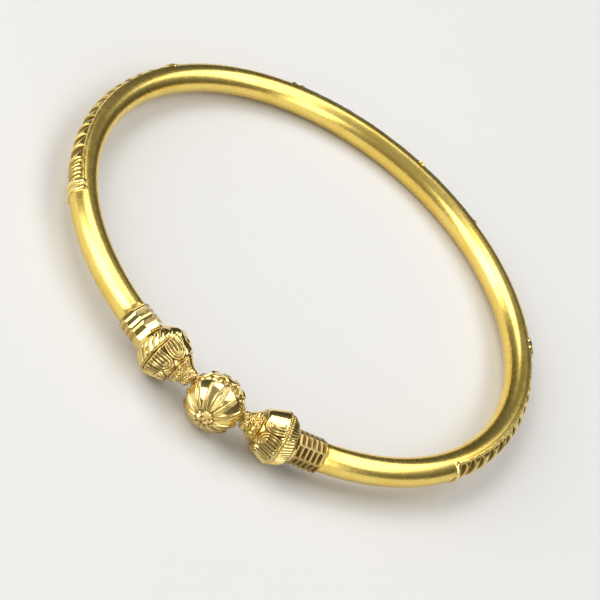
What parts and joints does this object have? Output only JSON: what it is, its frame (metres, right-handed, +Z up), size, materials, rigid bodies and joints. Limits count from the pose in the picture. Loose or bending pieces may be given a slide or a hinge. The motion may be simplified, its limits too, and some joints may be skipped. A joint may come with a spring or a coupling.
{
  "type": "kada bangle",
  "caption": "Round closed bangle of plain rod with carved bands, joined at the front by notched collars, flower buds and a melon ball.",
  "frame": {"origin": "on the table, under the middle of the bangle's bounding box, the bangle lying on its side as it rests by itself", "axes": "+Z up from the table, +Y from the ball at the front to the back of the ring, +X to the right seen from the front. The ring's own plane is tipped by 1.7 degrees about X, because the ball is thicker than the rod."},
  "size_m": [0.0678, 0.0703, 0.0075],
  "materials": {
    "satin_gold": "gold plate, softly polished with fine grain round the rod",
    "bright_gold": "gold plate, bright polished casting",
    "plain_brass": "drawn wire, hidden"
  },
  "bodies": {
    "root": {"ring_rod": "satin_gold", "left_collar": "bright_gold", "right_collar": "bright_gold", "left_bud": "bright_gold", "right_bud": "bright_gold", "centre_ball": "bright_gold", "core_wire": "plain_brass"}
  },
  "joints": []
}
